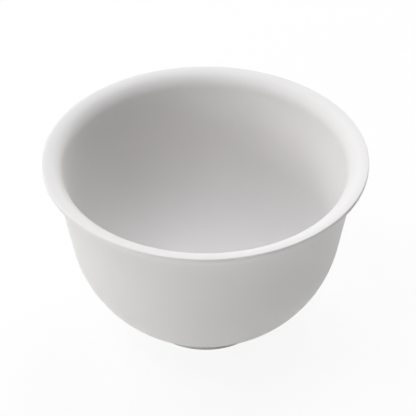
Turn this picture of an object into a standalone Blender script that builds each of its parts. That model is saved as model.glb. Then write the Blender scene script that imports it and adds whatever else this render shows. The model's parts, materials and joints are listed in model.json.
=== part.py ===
"""Shaving bowl: one piece of fired porcelain with a flared lip, a leaning wall, a round belly
and a low foot ring. Units are metres, +Z is up, and the bowl stands on Z = 0 around the Z axis."""

import math

import bmesh
import bpy

# Outside
RIM_RADIUS = 0.055                  # axis to the lip's outer edge
HEIGHT = 0.068                      # table to the lip's top
WALL_INSET = 0.0034                 # the wall's outer line, carried up to the lip's top, lies this far in
WALL_LEAN = math.radians(9.3)       # how far the wall leans outward from upright
BELLY_RADIUS = 0.0436               # arc that turns the wall in towards the foot
FOOT_RADIUS = 0.0222                # axis to the foot ring's outer side
FOOT_HEIGHT = 0.0039                # table to where the belly would meet the foot's side
FOOT_FILLET = 0.0015                # hollow that softens that meeting

# Clay thickness
WALL = 0.0029                       # measured square to the wall
FLOOR = 0.0040                      # the inside's floor above the underside
FOOT_RING_WIDTH = 0.0030            # the ring's outer side to its inner side
FOOT_RECESS = 0.0020                # how far the underside is hollowed inside the ring
RECESS_FILLET = 0.0008
FOOT_EDGE_ROUND = 0.0005            # both edges of the ring's standing face

# Lip
LIP_EDGE = 0.0016                   # thickness of the lip's outer edge
LIP_EDGE_ROUND = 0.0003
LIP_FLARE_HEIGHT = 0.0055           # the inside flares out to the rim over this height
LIP_COVE_HEIGHT = 0.0040            # the hollow under the lip spreads down over this height

# Facets
TURN_STEPS = 64                     # round the bowl
BELLY_STEPS = 12
FLARE_STEPS = 6
ROUND_STEPS = 3                     # each small rounded edge

GLAZE_COLOUR = (0.80, 0.80, 0.79, 1.0)
GLAZE_ROUGHNESS = 0.35


def curve(centre, reach, rise, start, end, steps):
    """Points (r, z) along an ellipse arc: centre + (reach * cos a, rise * sin a), a from start to end."""
    angles = [start + (end - start) * step / steps for step in range(steps + 1)]
    return [(centre[0] + reach * math.cos(a), centre[1] + rise * math.sin(a)) for a in angles]


def arc(centre, radius, start, end, steps):
    """A curve whose reach and rise are the same."""
    return curve(centre, radius, radius, start, end, steps)


def flare(edge, top, rise, line_inset, steps):
    """Quarter ellipse from the leaning line below, which it touches, up to its level top at edge.

    line_inset is the level distance from edge to the line at the height top. An ellipse touches a
    line when the line's square distance from its centre is (reach * cos)^2 + (rise * sin)^2.
    """
    lean_sin, lean_cos = math.sin(WALL_LEAN), math.cos(WALL_LEAN)
    distance = line_inset * lean_cos + rise * lean_sin
    reach = math.sqrt(distance ** 2 - (rise * lean_sin) ** 2) / lean_cos
    touch = math.atan2(rise * lean_sin, reach * lean_cos)
    return curve((edge, top - rise), reach, rise, math.pi - touch, math.pi / 2, steps)


def bowl_profile():
    """Half section (r, z): from the axis along the inside, over the lip, down the outside to the axis."""
    lean_sin, lean_cos = math.sin(WALL_LEAN), math.cos(WALL_LEAN)
    right, up, left, down = 0.0, math.pi / 2, math.pi, -math.pi / 2

    # The belly's arc passes through the foot's top corner and touches the wall's line.
    line_r_at_foot = RIM_RADIUS - WALL_INSET - (HEIGHT - FOOT_HEIGHT) * lean_sin / lean_cos
    foot_to_line = (line_r_at_foot - FOOT_RADIUS) * lean_cos
    along_line = math.sqrt(foot_to_line * (2 * BELLY_RADIUS - foot_to_line))
    inward = BELLY_RADIUS - foot_to_line
    belly_centre = (FOOT_RADIUS + along_line * lean_sin - inward * lean_cos,
                    FOOT_HEIGHT + along_line * lean_cos + inward * lean_sin)

    # The inside's arc leaves the wall level with the outside's and runs flat into the floor.
    floor_z = FOOT_RECESS + FLOOR
    inner_touch = (belly_centre[0] + (BELLY_RADIUS - WALL) * lean_cos,
                   belly_centre[1] - (BELLY_RADIUS - WALL) * lean_sin)
    inner_radius = (inner_touch[1] - floor_z) / (1 - lean_sin)
    inner_centre = (inner_touch[0] - inner_radius * lean_cos, floor_z + inner_radius)

    # The foot's hollow fillet touches the ring's side and the belly's arc.
    fillet_r = FOOT_RADIUS + FOOT_FILLET
    fillet_reach = BELLY_RADIUS + FOOT_FILLET
    fillet_angle = -math.acos((fillet_r - belly_centre[0]) / fillet_reach)
    fillet_centre = (fillet_r, belly_centre[1] + fillet_reach * math.sin(fillet_angle))

    lip_r = RIM_RADIUS - LIP_EDGE_ROUND
    ring_inner_r = FOOT_RADIUS - FOOT_RING_WIDTH
    inner_line_inset = WALL_INSET + WALL / lean_cos - LIP_EDGE_ROUND
    under_lip = HEIGHT - LIP_EDGE
    outer_line_inset = WALL_INSET + LIP_EDGE * lean_sin / lean_cos - LIP_EDGE_ROUND

    inside = [(0.0, floor_z)]
    inside += arc(inner_centre, inner_radius, down, -WALL_LEAN, BELLY_STEPS)
    inside += flare(lip_r, HEIGHT, LIP_FLARE_HEIGHT, inner_line_inset, FLARE_STEPS)

    edge = arc((lip_r, HEIGHT - LIP_EDGE_ROUND), LIP_EDGE_ROUND, up, right, ROUND_STEPS)[1:]
    edge += arc((lip_r, under_lip + LIP_EDGE_ROUND), LIP_EDGE_ROUND, right, down, ROUND_STEPS)

    outside = flare(lip_r, under_lip, LIP_COVE_HEIGHT, outer_line_inset, FLARE_STEPS)[-2::-1]
    outside += arc(belly_centre, BELLY_RADIUS, -WALL_LEAN, fillet_angle, BELLY_STEPS)
    outside += arc(fillet_centre, FOOT_FILLET, fillet_angle + math.pi, left, ROUND_STEPS)[1:]

    ring = arc((FOOT_RADIUS - FOOT_EDGE_ROUND, FOOT_EDGE_ROUND), FOOT_EDGE_ROUND,
               right, down, ROUND_STEPS)
    ring += arc((ring_inner_r + FOOT_EDGE_ROUND, FOOT_EDGE_ROUND), FOOT_EDGE_ROUND,
                down, -math.pi, ROUND_STEPS)
    ring += arc((ring_inner_r - RECESS_FILLET, FOOT_RECESS - RECESS_FILLET), RECESS_FILLET,
                right, up, ROUND_STEPS)
    return inside + edge + outside + ring + [(0.0, FOOT_RECESS)]


def turn(name, profile, material):
    """One closed object: the profile spun once round the Z axis."""
    shape = bmesh.new()
    verts = [shape.verts.new((r, 0.0, z)) for r, z in profile]
    edges = [shape.edges.new(pair) for pair in zip(verts, verts[1:])]
    bmesh.ops.spin(shape, geom=verts + edges, cent=(0, 0, 0), axis=(0, 0, 1),
                   angle=2 * math.pi, steps=TURN_STEPS, use_duplicate=False)
    bmesh.ops.remove_doubles(shape, verts=shape.verts, dist=1e-6)
    bmesh.ops.recalc_face_normals(shape, faces=shape.faces)
    mesh = bpy.data.meshes.new(name)
    shape.to_mesh(mesh)
    shape.free()
    mesh.shade_smooth()
    mesh.set_sharp_from_angle(angle=math.radians(40))
    mesh.materials.append(material)
    turned = bpy.data.objects.new(name, mesh)
    bpy.context.collection.objects.link(turned)
    return turned


def glazed_porcelain():
    """White satin glaze over porcelain."""
    material = bpy.data.materials.new("glazed_porcelain")
    material.use_nodes = True
    surface = material.node_tree.nodes["Principled BSDF"]
    surface.inputs["Base Color"].default_value = GLAZE_COLOUR
    surface.inputs["Roughness"].default_value = GLAZE_ROUGHNESS
    surface.inputs["Metallic"].default_value = 0.0
    return material


for existing in list(bpy.data.objects):
    bpy.data.objects.remove(existing, do_unlink=True)

turn("bowl", bowl_profile(), glazed_porcelain())
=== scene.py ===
import json
import math

import bpy
import numpy as np
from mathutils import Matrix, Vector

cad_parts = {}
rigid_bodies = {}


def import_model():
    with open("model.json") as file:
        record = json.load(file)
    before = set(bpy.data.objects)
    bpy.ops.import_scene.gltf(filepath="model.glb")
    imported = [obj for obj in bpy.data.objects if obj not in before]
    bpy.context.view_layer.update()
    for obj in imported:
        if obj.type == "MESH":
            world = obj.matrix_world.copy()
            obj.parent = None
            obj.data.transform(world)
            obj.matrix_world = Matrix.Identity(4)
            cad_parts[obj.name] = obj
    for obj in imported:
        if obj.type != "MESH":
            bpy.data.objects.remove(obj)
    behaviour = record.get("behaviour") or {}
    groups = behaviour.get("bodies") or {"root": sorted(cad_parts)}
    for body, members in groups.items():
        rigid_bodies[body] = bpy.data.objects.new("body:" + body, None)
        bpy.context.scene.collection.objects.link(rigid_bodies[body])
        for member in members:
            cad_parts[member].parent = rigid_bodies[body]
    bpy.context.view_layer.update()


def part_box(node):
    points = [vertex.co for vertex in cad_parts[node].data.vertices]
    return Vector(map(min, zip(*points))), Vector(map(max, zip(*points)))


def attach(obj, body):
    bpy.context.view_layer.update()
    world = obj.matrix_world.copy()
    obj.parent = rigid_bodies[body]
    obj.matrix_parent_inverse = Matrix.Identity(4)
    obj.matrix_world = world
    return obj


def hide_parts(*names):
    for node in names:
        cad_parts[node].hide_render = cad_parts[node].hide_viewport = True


for existing in list(bpy.data.objects):
    bpy.data.objects.remove(existing, do_unlink=True)

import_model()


# The bowl is one piece of porcelain, turned on a wheel head in a plaster mould and fired once. Its wall
# leans outward to a flared lip with a thin crisp edge, and the belly turns in to a low foot ring.
# Everything here is the half section (r, z), in metres, and that section carried round the Z axis.

box_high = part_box("bowl")[1]
RIM_RADIUS = box_high.x
HEIGHT = box_high.z

WALL_INSET = 0.0034         # the wall's outer line, carried up to the lip's top, lies this far in
WALL_LEAN = math.radians(9.3)
BELLY_RADIUS = 0.0436
WALL = 0.0029
FLOOR = 0.0040

FOOT_RADIUS = 0.0222
FOOT_HEIGHT = 0.0039
FOOT_FILLET = 0.0015
FOOT_RING_WIDTH = 0.0030
FOOT_EDGE_ROUND = 0.0005
FOOT_RECESS = 0.0020
RECESS_FILLET = 0.0008

LIP_EDGE = 0.0016
LIP_EDGE_ROUND = 0.0003
LIP_FLARE_HEIGHT = 0.0055
LIP_COVE_HEIGHT = 0.0040

BELLY_STEPS, LIP_STEPS, COVE_STEPS, FILLET_STEPS, ROUND_STEPS = 44, 22, 16, 8, 6
FLOOR_STEPS, WALL_STEPS, EDGE_STEPS, RING_STEPS, RECESS_STEPS = 5, 14, 3, 4, 9
AROUND = 272

LEAN_SIN, LEAN_COS = math.sin(WALL_LEAN), math.cos(WALL_LEAN)
RIGHT, UP, LEFT, DOWN = 0.0, math.pi / 2, math.pi, -math.pi / 2


def curve(centre, reach, rise, start, end, steps):
    """Points (r, z) = centre + (reach cos a, rise sin a), with a in even steps from start to end."""
    a = np.linspace(start, end, steps + 1)
    return np.column_stack((centre[0] + reach * np.cos(a), centre[1] + rise * np.sin(a)))


def straight(start, end, steps):
    """Evenly spaced points between two points, leaving both ends out."""
    share = np.linspace(0, 1, steps + 1)[1:-1, None]
    return np.array(start) * (1 - share) + np.array(end) * share


def flare(top, rise, line_inset, steps):
    """Quarter ellipse that leaves the leaning line below it and ends level at the lip's edge.

    line_inset is the level distance from the ellipse's centre line to the wall's line at the height top.
    A line touches an ellipse when its distance from the centre, squared, is (reach cos lean)^2 + (rise sin
    lean)^2.
    """
    distance = line_inset * LEAN_COS + rise * LEAN_SIN
    reach = math.sqrt(distance ** 2 - (rise * LEAN_SIN) ** 2) / LEAN_COS
    touch = math.atan2(rise * LEAN_SIN, reach * LEAN_COS)
    centre = (RIM_RADIUS - LIP_EDGE_ROUND, top - rise)
    return curve(centre, reach, rise, math.pi - touch, math.pi / 2, steps)


def belly_arc():
    """(centre, where it meets the foot's fillet, the fillet's centre) of the outside's round belly.

    The arc passes through the foot's top corner and touches the wall's line, which fixes its centre.
    """
    line_r = RIM_RADIUS - WALL_INSET - (HEIGHT - FOOT_HEIGHT) * LEAN_SIN / LEAN_COS
    to_line = (line_r - FOOT_RADIUS) * LEAN_COS
    along = math.sqrt(to_line * (2 * BELLY_RADIUS - to_line))
    inward = BELLY_RADIUS - to_line
    centre = (FOOT_RADIUS + along * LEAN_SIN - inward * LEAN_COS,
              FOOT_HEIGHT + along * LEAN_COS + inward * LEAN_SIN)
    fillet_r = FOOT_RADIUS + FOOT_FILLET
    reach = BELLY_RADIUS + FOOT_FILLET
    meeting = -math.acos((fillet_r - centre[0]) / reach)
    return centre, meeting, (fillet_r, centre[1] + reach * math.sin(meeting))


def section():
    """The half section as points (r, z): along the floor, up the inside, over the lip, down the outside and
    under the foot, from the axis back to the axis.
    """
    belly_centre, meeting, fillet_centre = belly_arc()
    floor_z = FOOT_RECESS + FLOOR
    inner_touch = (belly_centre[0] + (BELLY_RADIUS - WALL) * LEAN_COS,
                   belly_centre[1] - (BELLY_RADIUS - WALL) * LEAN_SIN)
    inner_radius = (inner_touch[1] - floor_z) / (1 - LEAN_SIN)
    inner_centre = (inner_touch[0] - inner_radius * LEAN_COS, floor_z + inner_radius)
    under_lip = HEIGHT - LIP_EDGE
    lip_r = RIM_RADIUS - LIP_EDGE_ROUND
    ring_r = FOOT_RADIUS - FOOT_RING_WIDTH

    belly_inside = curve(inner_centre, inner_radius, inner_radius, DOWN, -WALL_LEAN,
                         BELLY_STEPS)
    lip_top = flare(HEIGHT, LIP_FLARE_HEIGHT, WALL_INSET + WALL / LEAN_COS - LIP_EDGE_ROUND, LIP_STEPS)
    edge_top = curve((lip_r, HEIGHT - LIP_EDGE_ROUND),
                     LIP_EDGE_ROUND, LIP_EDGE_ROUND, UP, RIGHT, ROUND_STEPS)
    edge_under = curve((lip_r, under_lip + LIP_EDGE_ROUND),
                       LIP_EDGE_ROUND, LIP_EDGE_ROUND, RIGHT, DOWN, ROUND_STEPS)
    cove = flare(under_lip, LIP_COVE_HEIGHT,
                 WALL_INSET + LIP_EDGE * LEAN_SIN / LEAN_COS - LIP_EDGE_ROUND, COVE_STEPS)[::-1]
    belly = curve(belly_centre, BELLY_RADIUS, BELLY_RADIUS, -WALL_LEAN, meeting, BELLY_STEPS)
    fillet = curve(fillet_centre, FOOT_FILLET, FOOT_FILLET, meeting + math.pi, LEFT, FILLET_STEPS)
    ring_outer = curve((FOOT_RADIUS - FOOT_EDGE_ROUND, FOOT_EDGE_ROUND),
                       FOOT_EDGE_ROUND, FOOT_EDGE_ROUND, RIGHT, DOWN, ROUND_STEPS)
    ring_inner = curve((ring_r + FOOT_EDGE_ROUND, FOOT_EDGE_ROUND),
                       FOOT_EDGE_ROUND, FOOT_EDGE_ROUND, DOWN, -math.pi, ROUND_STEPS)
    recess = curve((ring_r - RECESS_FILLET, FOOT_RECESS - RECESS_FILLET),
                   RECESS_FILLET, RECESS_FILLET, RIGHT, UP, ROUND_STEPS)
    return np.vstack((
        (0, floor_z), straight((0, floor_z), belly_inside[0], FLOOR_STEPS),
        belly_inside, straight(belly_inside[-1], lip_top[0], WALL_STEPS),
        lip_top, edge_top[1:], straight(edge_top[-1], edge_under[0], EDGE_STEPS), edge_under,
        cove[1:], straight(cove[-1], belly[0], WALL_STEPS), belly, fillet[1:],
        straight(fillet[-1], ring_outer[0], RING_STEPS), ring_outer,
        straight(ring_outer[-1], ring_inner[0], RING_STEPS), ring_inner, recess,
        straight(recess[-1], (0, FOOT_RECESS), RECESS_STEPS), (0, FOOT_RECESS)))


def turned(name, profile, around):
    """A closed mesh: point (r, z) of the profile at angle t lies at (r cos t, r sin t, z).

    The profile's two ends are on the axis, and each is one vertex with a fan of triangles. The porcelain
    lies on the right of the profile as it is followed, so every face points out of it.
    """
    rings = profile[1:-1]
    t = np.arange(around) * 2 * math.pi / around
    r, z = rings[:, :1], rings[:, 1:]
    grid = np.stack((r * np.cos(t), r * np.sin(t), np.repeat(z, around, axis=1)), axis=-1).reshape(-1, 3)
    poles = np.array([(0, 0, profile[0, 1]), (0, 0, profile[-1, 1])])
    here = np.arange(len(rings) * around).reshape(len(rings), around)
    beside = np.roll(here, -1, axis=1)
    quads = np.stack((here[:-1], here[1:], beside[1:], beside[:-1]), axis=-1).reshape(-1, 4)
    first_pole, last_pole = len(grid), len(grid) + 1
    inner_fan = np.stack((np.full(around, first_pole), here[0], beside[0]), axis=-1)
    under_fan = np.stack((np.full(around, last_pole), beside[-1], here[-1]), axis=-1)
    mesh = bpy.data.meshes.new(name)
    mesh.from_pydata(np.vstack((grid, poles)).tolist(), [],
                     quads.tolist() + inner_fan.tolist() + under_fan.tolist())
    mesh.validate()
    mesh.shade_smooth()
    piece = bpy.data.objects.new(name, mesh)
    bpy.context.scene.collection.objects.link(piece)
    return piece


bowl = turned("porcelain_bowl", section(), AROUND)


# The glaze is a satin white, dipped on and fused to the clay. It runs thicker into the hollow under the
# lip and round the foot, and thins over the lip. These places are painted lighter than the rest, which
# is painted light: it lifts the shade in the hollow and round the foot and brightens the lip. It is wiped
# off the ring that stands on the kiln shelf, so that face is bare, fine biscuit.

GLAZE = (0.800, 0.788, 0.778, 1)
# Lighter than GLAZE: painted light that lifts the shade in the hollow under the lip and round the foot.
PAINTED_LIGHT_POOLED_GLAZE = (0.830, 0.822, 0.812, 1)
CLOUDED_GLAZE = (0.775, 0.772, 0.765, 1)
# Lighter than GLAZE: painted light on the lip, where the glaze also thins.
THIN_GLAZE_PAINTED_LIGHT = (0.827, 0.816, 0.808, 1)
BISCUIT = (0.735, 0.715, 0.685, 1)
SPECK = (0.66, 0.63, 0.59, 1)

BARE_TOP = (0.00010, 0.00020)       # heights between which the biscuit gives way to glaze
BARE_RAGGED = 0.00009
PAINTED_LIGHT_POOL_FOOT_LOW = (0.0020, 0.0032)    # the thicker glaze round the foot, painted lighter as painted light on its shade, starts and ends between these heights
PAINTED_LIGHT_POOL_FOOT_HIGH = (0.0036, 0.0052)
PAINTED_LIGHT_POOL_COVE_MIDDLE = (0.0509, 0.0637)        # (r, z) of the middle of the hollow under the lip
PAINTED_LIGHT_POOL_COVE_REACH = (0.0006, 0.0026)
THIN_LIP_PAINTED_LIGHT_FROM = (0.0500, 0.0520)        # radii between which the glaze thins and the lip is painted lighter, which is painted light

CLOUD_SIZE, CLOUD_LEVELS = 0.022, (0.35, 0.75)
SPECK_APART = 0.0075
SPECK_REACH = (0.010, 0.022)        # as shares of SPECK_APART
MOTTLE_SIZE = 0.0016
CLOUD_SHARE, PAINTED_LIGHT_POOL_SHARE, THIN_LIP_PAINTED_LIGHT_SHARE, SPECK_SHARE = 0.35, 0.8, 0.8, 0.5

RING_SIZE, RING_DEPTH = 0.0024, 0.000006
DIMPLE_SIZE, DIMPLE_DEPTH = 0.0012, 0.000003
WAVE_SIZE, WAVE_DEPTH = 0.006, 0.000010
GRAIN_SIZE, GRAIN_DEPTH, GRAIN_HARSHNESS = 0.00025, 0.00005, 0.7

GLAZE_ROUGHNESS = 0.48
CLOUD_ROUGHER, MOTTLE_ROUGHER, BISCUIT_ROUGHER = 0.06, 0.04, 0.28
GLAZE_SPECULAR = 0.25


class Wire:
    """A value in a node tree. Arithmetic on it adds Math nodes, and node() adds any other node."""

    def __init__(self, tree, socket=None):
        self.tree = tree
        self.socket = socket

    def node(self, kind, settings, inputs, output=0):
        """A new node: its settings are set first, then its inputs, each from a value or a wire."""
        made = self.tree.nodes.new(kind)
        for name, value in settings.items():
            setattr(made, name, value)
        for name, value in inputs.items():
            if isinstance(value, Wire):
                self.tree.links.new(value.socket, made.inputs[name])
            else:
                made.inputs[name].default_value = value
        return Wire(self.tree, made.outputs[output])

    def beside(self, name):
        """The output of that name on the node that this value comes from."""
        return Wire(self.tree, self.socket.node.outputs[name])

    def maths(self, operation, *values):
        return self.node("ShaderNodeMath", {"operation": operation}, dict(enumerate(values)))

    def __add__(self, other):
        return self.maths("ADD", self, other)

    def __sub__(self, other):
        return self.maths("SUBTRACT", self, other)

    def __rsub__(self, other):
        return self.maths("SUBTRACT", other, self)

    def __mul__(self, other):
        return self.maths("MULTIPLY", self, other)

    __radd__ = __add__
    __rmul__ = __mul__

    def root(self):
        return self.maths("SQRT", self)

    def step(self, edges):
        """0 below the first edge, 1 above the second, and a smooth rise between them."""
        return self.node("ShaderNodeMapRange", {"interpolation_type": "SMOOTHSTEP"},
                         {"Value": self, "From Min": edges[0], "From Max": edges[1]})

    def noise(self, size, detail, roughness=0.5):
        """Noise over this place: lumps of about that size in metres, from 0 to 1."""
        return self.node("ShaderNodeTexNoise", {},
                         {"Vector": self, "Scale": 1 / size, "Detail": detail, "Roughness": roughness})

    def blend(self, first, second):
        """A colour: the first where this value is 0, and the second where it is 1."""
        return self.node("ShaderNodeMix", {"data_type": "RGBA"}, {0: self, 6: first, 7: second}, 2)


def glazed_porcelain():
    """Satin glaze over white porcelain, bare on the foot ring's standing face."""
    material = bpy.data.materials.new("glazed_porcelain")
    material.use_nodes = True
    tree = material.node_tree
    surface = tree.nodes["Principled BSDF"]
    place = Wire(tree).node("ShaderNodeTexCoord", {}, {}, "Object")
    x = place.node("ShaderNodeSeparateXYZ", {}, {"Vector": place})
    y, z = x.beside("Y"), x.beside("Z")
    r = (x * x + y * y).root()

    # Where the glaze is missing, pooled or thin. The pooled places and the lip are painted lighter, which
    # is painted light.
    mottle = place.noise(MOTTLE_SIZE, 2)
    ragged = z + mottle * BARE_RAGGED
    bare = 1 - ragged.step(BARE_TOP)
    painted_light_foot_pool = ragged.step(PAINTED_LIGHT_POOL_FOOT_LOW) * (1 - z.step(PAINTED_LIGHT_POOL_FOOT_HIGH))
    cove_r, cove_z = r - PAINTED_LIGHT_POOL_COVE_MIDDLE[0], z - PAINTED_LIGHT_POOL_COVE_MIDDLE[1]
    painted_light_cove_pool = 1 - (cove_r * cove_r + cove_z * cove_z).root().step(PAINTED_LIGHT_POOL_COVE_REACH)
    thin_lip_painted_light = r.step(THIN_LIP_PAINTED_LIGHT_FROM)

    # Faint clouding in the glaze, and rare specks of iron in the clay.
    cloud = place.noise(CLOUD_SIZE, 3)
    speck = 1 - place.node("ShaderNodeTexVoronoi", {"feature": "F1"},
                           {"Vector": place, "Scale": 1 / SPECK_APART}).step(SPECK_REACH)
    colour = (cloud.step(CLOUD_LEVELS) * CLOUD_SHARE).blend(GLAZE, CLOUDED_GLAZE)
    # Painted light: the pooled places in the shaded hollow and round the foot are painted lighter.
    colour = ((painted_light_foot_pool + painted_light_cove_pool) * PAINTED_LIGHT_POOL_SHARE).blend(colour, PAINTED_LIGHT_POOLED_GLAZE)
    # Painted light: the lip, where the glaze thins, is painted lighter.
    colour = (thin_lip_painted_light * THIN_LIP_PAINTED_LIGHT_SHARE).blend(colour, THIN_GLAZE_PAINTED_LIGHT)
    colour = (speck * SPECK_SHARE).blend(colour, SPECK)
    colour = bare.blend(colour, BISCUIT)

    # The glaze's skin is slightly dimpled, over rings that the turning tool left. Heights are in metres.
    section_place = place.node("ShaderNodeCombineXYZ", {}, {"X": r, "Y": z})
    height = (section_place.noise(RING_SIZE, 2) * RING_DEPTH + place.noise(DIMPLE_SIZE, 1) * DIMPLE_DEPTH
              + place.noise(WAVE_SIZE, 1) * WAVE_DEPTH
              + place.noise(GRAIN_SIZE, 3, GRAIN_HARSHNESS) * bare * GRAIN_DEPTH)
    bump = height.node("ShaderNodeBump", {}, {"Strength": 1.0, "Distance": 1.0, "Height": height})

    roughness = (GLAZE_ROUGHNESS + cloud * CLOUD_ROUGHER + mottle * MOTTLE_ROUGHER
                 + bare * BISCUIT_ROUGHER)
    tree.links.new(colour.socket, surface.inputs["Base Color"])
    tree.links.new(roughness.socket, surface.inputs["Roughness"])
    tree.links.new(bump.socket, surface.inputs["Normal"])
    surface.inputs["Specular IOR Level"].default_value = GLAZE_SPECULAR
    return material


bowl.data.materials.append(glazed_porcelain())
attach(bowl, "root")
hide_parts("bowl")


# The floor is a sheet of plain white card, far wider than the view. It shows as white where nothing
# shades it, throws light back up at the belly, and keeps the bowl's soft shadow.

FLOOR_HALF = 3.0
FLOOR_DROP = 0.00005        # keeps the card's face just off the bowl's standing face
FLOOR_COLOUR = (0.95, 0.95, 0.95, 1)
FLOOR_GLOW = 0.90           # share of plain white in what the camera sees of the floor by the bowl
FLOOR_FADE = (0.25, 0.90)   # distances from the bowl between which that share rises to the whole

floor_mesh = bpy.data.meshes.new("floor")
across = FLOOR_HALF * np.array([-1, 1, 1, -1])
corners = np.column_stack((across, np.roll(across, 1), np.full(4, -FLOOR_DROP)))
floor_mesh.from_pydata(corners.tolist(), [], [(0, 1, 2, 3)])
floor = bpy.data.objects.new("floor", floor_mesh)
bpy.context.scene.collection.objects.link(floor)


def seen_directly(tree):
    """1 for what the camera sees, straight or in a gloss or a glass, and 0 for light on its way."""
    camera = Wire(tree).node("ShaderNodeLightPath", {}, {}, "Is Camera Ray")
    glossy = camera.maths("MAXIMUM", camera, camera.beside("Is Glossy Ray"))
    return glossy.maths("MAXIMUM", glossy, camera.beside("Is Transmission Ray"))


card = bpy.data.materials.new("white_card")
card.use_nodes = True
card.node_tree.nodes.clear()
card_out = card.node_tree.nodes.new("ShaderNodeOutputMaterial")
seen = seen_directly(card.node_tree)
matt = seen.node("ShaderNodeBsdfDiffuse", {}, {"Color": FLOOR_COLOUR})
glow = seen.node("ShaderNodeEmission", {}, {"Strength": 1.0})
card_x = seen.node("ShaderNodeSeparateXYZ", {},
                   {"Vector": seen.node("ShaderNodeTexCoord", {}, {}, "Object")})
card_y = card_x.beside("Y")
far_off = (card_x * card_x + card_y * card_y).root().step(FLOOR_FADE)
white_share = seen * (FLOOR_GLOW + far_off * (1 - FLOOR_GLOW))
shown = seen.node("ShaderNodeMixShader", {}, {0: white_share, 1: matt, 2: glow})
card.node_tree.links.new(shown.socket, card_out.inputs["Surface"])
floor_mesh.materials.append(card)


# The light is a dark room with nine softboxes. The strong ones stand high behind on the right and high on
# the left, and weaker, smaller ones down the left side draw the shading, so that the right of the outside
# and the left of the inside are shaded. The high lamps are a shade cooler than the low ones.

ROOM_LIGHT = 0.008
SOFTBOX_DISTANCE = 2.5
BROAD, NARROW = 1.2, 0.5
PLAIN, COOL, WARM = (1.0, 1.0, 1.0), (0.967, 0.967, 1.0), (1.0, 1.0, 0.920)

world = bpy.data.worlds.new("room")
bpy.context.scene.world = world
world.use_nodes = True
backdrop = world.node_tree.nodes["Background"]
backdrop.inputs["Color"].default_value = (1, 1, 1, 1)
room_seen = seen_directly(world.node_tree)
world.node_tree.links.new((ROOM_LIGHT + room_seen * (1 - ROOM_LIGHT)).socket, backdrop.inputs["Strength"])


def softbox(name, turn, rise, side, tint, watts):
    """A square lamp that faces the bowl. turn is its bearing from the near side, positive to the right, and
    rise its angle above the floor, both in degrees.
    """
    lamp = bpy.data.lights.new(name, "AREA")
    lamp.shape = "SQUARE"
    lamp.size = side
    lamp.color = tint
    lamp.energy = watts
    holder = bpy.data.objects.new(name, lamp)
    bearing, height = math.radians(turn), math.radians(rise)
    holder.location = (SOFTBOX_DISTANCE * math.cos(height) * math.sin(bearing),
                       -SOFTBOX_DISTANCE * math.cos(height) * math.cos(bearing),
                       SOFTBOX_DISTANCE * math.sin(height))
    holder.rotation_euler = (math.pi / 2 - height, 0, bearing)
    holder.visible_camera = False
    bpy.context.scene.collection.objects.link(holder)


softbox("behind_right_high", 150, 65, BROAD, COOL, 24.7)
softbox("behind_right_low", 150, 15, BROAD, WARM, 16.5)
softbox("behind_left", -150, 40, NARROW, PLAIN, 11.0)
softbox("left_behind", -120, 40, BROAD, COOL, 10.0)
softbox("left_high", -70, 65, BROAD, COOL, 21.1)
softbox("left_low", -90, 15, NARROW, WARM, 6.1)
softbox("left_near", -60, 15, NARROW, PLAIN, 9.2)
softbox("front_left", -30, 15, BROAD, WARM, 5.1)
softbox("front_low", 40, 8, NARROW, WARM, 2.3)


# The camera stands off the bowl's near side and looks down into it, a hair to the right of its axis.

CAMERA_DISTANCE = 0.618
CAMERA_RISE = math.radians(37.77)
AIM = (0.00086, 0.0, 0.04585)
SENSOR = 36.0
LENS = 155.4

camera_data = bpy.data.cameras.new("camera")
camera_data.sensor_width = SENSOR
camera_data.lens = LENS
camera_data.clip_start = 0.01
camera = bpy.data.objects.new("camera", camera_data)
camera.location = (AIM[0], AIM[1] - CAMERA_DISTANCE * math.cos(CAMERA_RISE),
                   AIM[2] + CAMERA_DISTANCE * math.sin(CAMERA_RISE))
camera.rotation_euler = (math.pi / 2 - CAMERA_RISE, 0, 0)
bpy.context.scene.collection.objects.link(camera)
bpy.context.scene.camera = camera
bpy.context.scene.view_settings.view_transform = "Standard"
